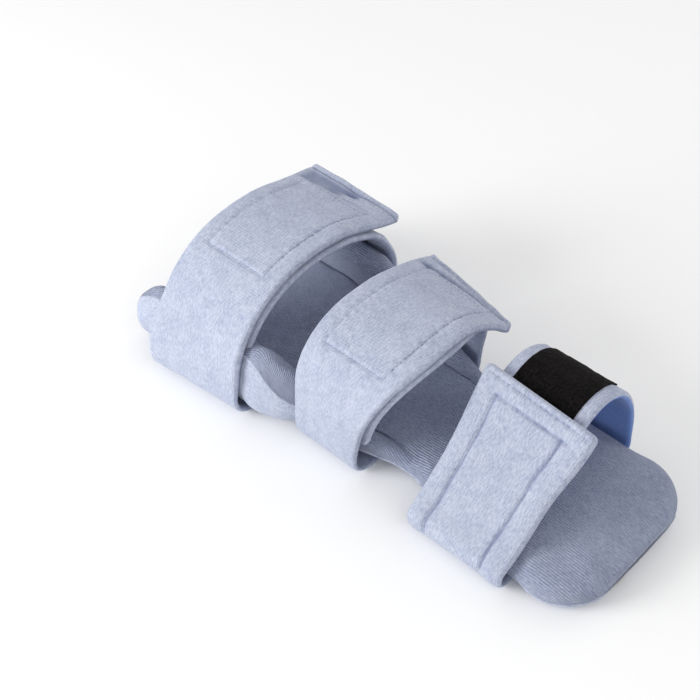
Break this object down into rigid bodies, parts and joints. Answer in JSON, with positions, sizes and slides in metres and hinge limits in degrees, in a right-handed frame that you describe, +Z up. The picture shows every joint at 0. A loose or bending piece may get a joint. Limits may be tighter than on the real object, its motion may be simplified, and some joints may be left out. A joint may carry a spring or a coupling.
{
  "type": "wrist and hand resting splint",
  "caption": "Padded resting splint that holds a forearm, wrist and hand: a soft U-shaped trough and a flat finger pan on a bendable core, closed by wide hook-and-pile straps.",
  "frame": {"origin": "middle of the underside of the bounding box, on the table that the splint lies on", "axes": "+X towards the fingertips, +Y towards the little-finger side, +Z up, away from the table"},
  "size_m": [0.356, 0.1554, 0.0965],
  "materials": {
    "heather_knit": "light blue-grey heather fleece knit, soft brushed face with fine darker flecks",
    "rib_knit": "blue-grey fine rib knit, slightly shiny along the ribs",
    "strap_lining": "mid-blue smooth knit lining bound with the heather knit",
    "black_pile": "black brushed loop pile, very matte",
    "black_hooks": "black nylon hook tape",
    "foam": "cream open-cell foam",
    "core_plate": "grey-white heat-formable plastic sheet",
    "aluminium": "soft rolled aluminium with a light brushed grain"
  },
  "bodies": {
    "forearm_shell": {"forearm_cover": "heather_knit", "forearm_liner": "rib_knit", "forearm_foam": "foam", "forearm_plate": "core_plate", "forearm_rivet_1": "aluminium", "forearm_rivet_2": "aluminium", "wrist_strip": "aluminium", "wrist_sleeve": "rib_knit", "wrist_foam": "foam", "forearm_strap_base": "heather_knit", "wrist_strap_base": "heather_knit"},
    "hand_shell": {"hand_cover": "heather_knit", "hand_liner": "rib_knit", "hand_foam": "foam", "hand_plate": "core_plate", "hand_rivet_1": "aluminium", "hand_rivet_2": "aluminium", "tip_tab": "black_pile", "hand_strap_base": "heather_knit"},
    "forearm_near": {"forearm_near_flap": "heather_knit", "forearm_hook_patch": "black_hooks"},
    "forearm_far": {"forearm_far_flap": "strap_lining", "forearm_pile_patch": "black_pile"},
    "wrist_near": {"wrist_near_flap": "heather_knit", "wrist_hook_patch": "black_hooks"},
    "wrist_far": {"wrist_far_flap": "strap_lining", "wrist_pile_patch": "black_pile"},
    "hand_near": {"hand_near_flap": "heather_knit", "hand_hook_patch": "black_hooks"},
    "hand_far": {"hand_far_flap": "strap_lining", "hand_pile_patch": "black_pile"}
  },
  "joints": [
    {"name": "wrist_bend", "type": "hinge", "parent": "forearm_shell", "child": "hand_shell", "pos_m": [0.042, 0.00175, 0.0096], "axis": [0, -1, 0], "range_deg": [-30, 12], "deforming": ["wrist_strip", "wrist_sleeve", "wrist_foam"]},
    {"name": "forearm_strap_open", "type": "hinge", "parent": "forearm_shell", "child": "forearm_near", "pos_m": [-0.1085, -0.07775, 0.0189], "axis": [1, 0, 0], "range_deg": [0, 80]},
    {"name": "forearm_far_open", "type": "hinge", "parent": "forearm_shell", "child": "forearm_far", "pos_m": [-0.1085, 0.07775, 0.0189], "axis": [-1, 0, 0], "range_deg": [0, 48]},
    {"name": "wrist_strap_open", "type": "hinge", "parent": "forearm_shell", "child": "wrist_near", "pos_m": [-0.009, -0.06205, 0.0164], "axis": [1, 0, 0], "range_deg": [0, 80]},
    {"name": "wrist_far_open", "type": "hinge", "parent": "forearm_shell", "child": "wrist_far", "pos_m": [-0.009, 0.06075, 0.0164], "axis": [-1, 0, 0], "range_deg": [0, 48]},
    {"name": "hand_strap_open", "type": "hinge", "parent": "hand_shell", "child": "hand_near", "pos_m": [0.0995, -0.06845, 0.0129], "axis": [1, 0, 0], "range_deg": [0, 100]},
    {"name": "hand_far_open", "type": "hinge", "parent": "hand_shell", "child": "hand_far", "pos_m": [0.0995, 0.07075, 0.0129], "axis": [-1, 0, 0], "range_deg": [0, 60]}
  ],
  "couplings": [
    {"joint": "forearm_far_open", "follows": "forearm_strap_open", "ratio": 0.6},
    {"joint": "wrist_far_open", "follows": "wrist_strap_open", "ratio": 0.6},
    {"joint": "hand_far_open", "follows": "hand_strap_open", "ratio": 0.6}
  ]
}
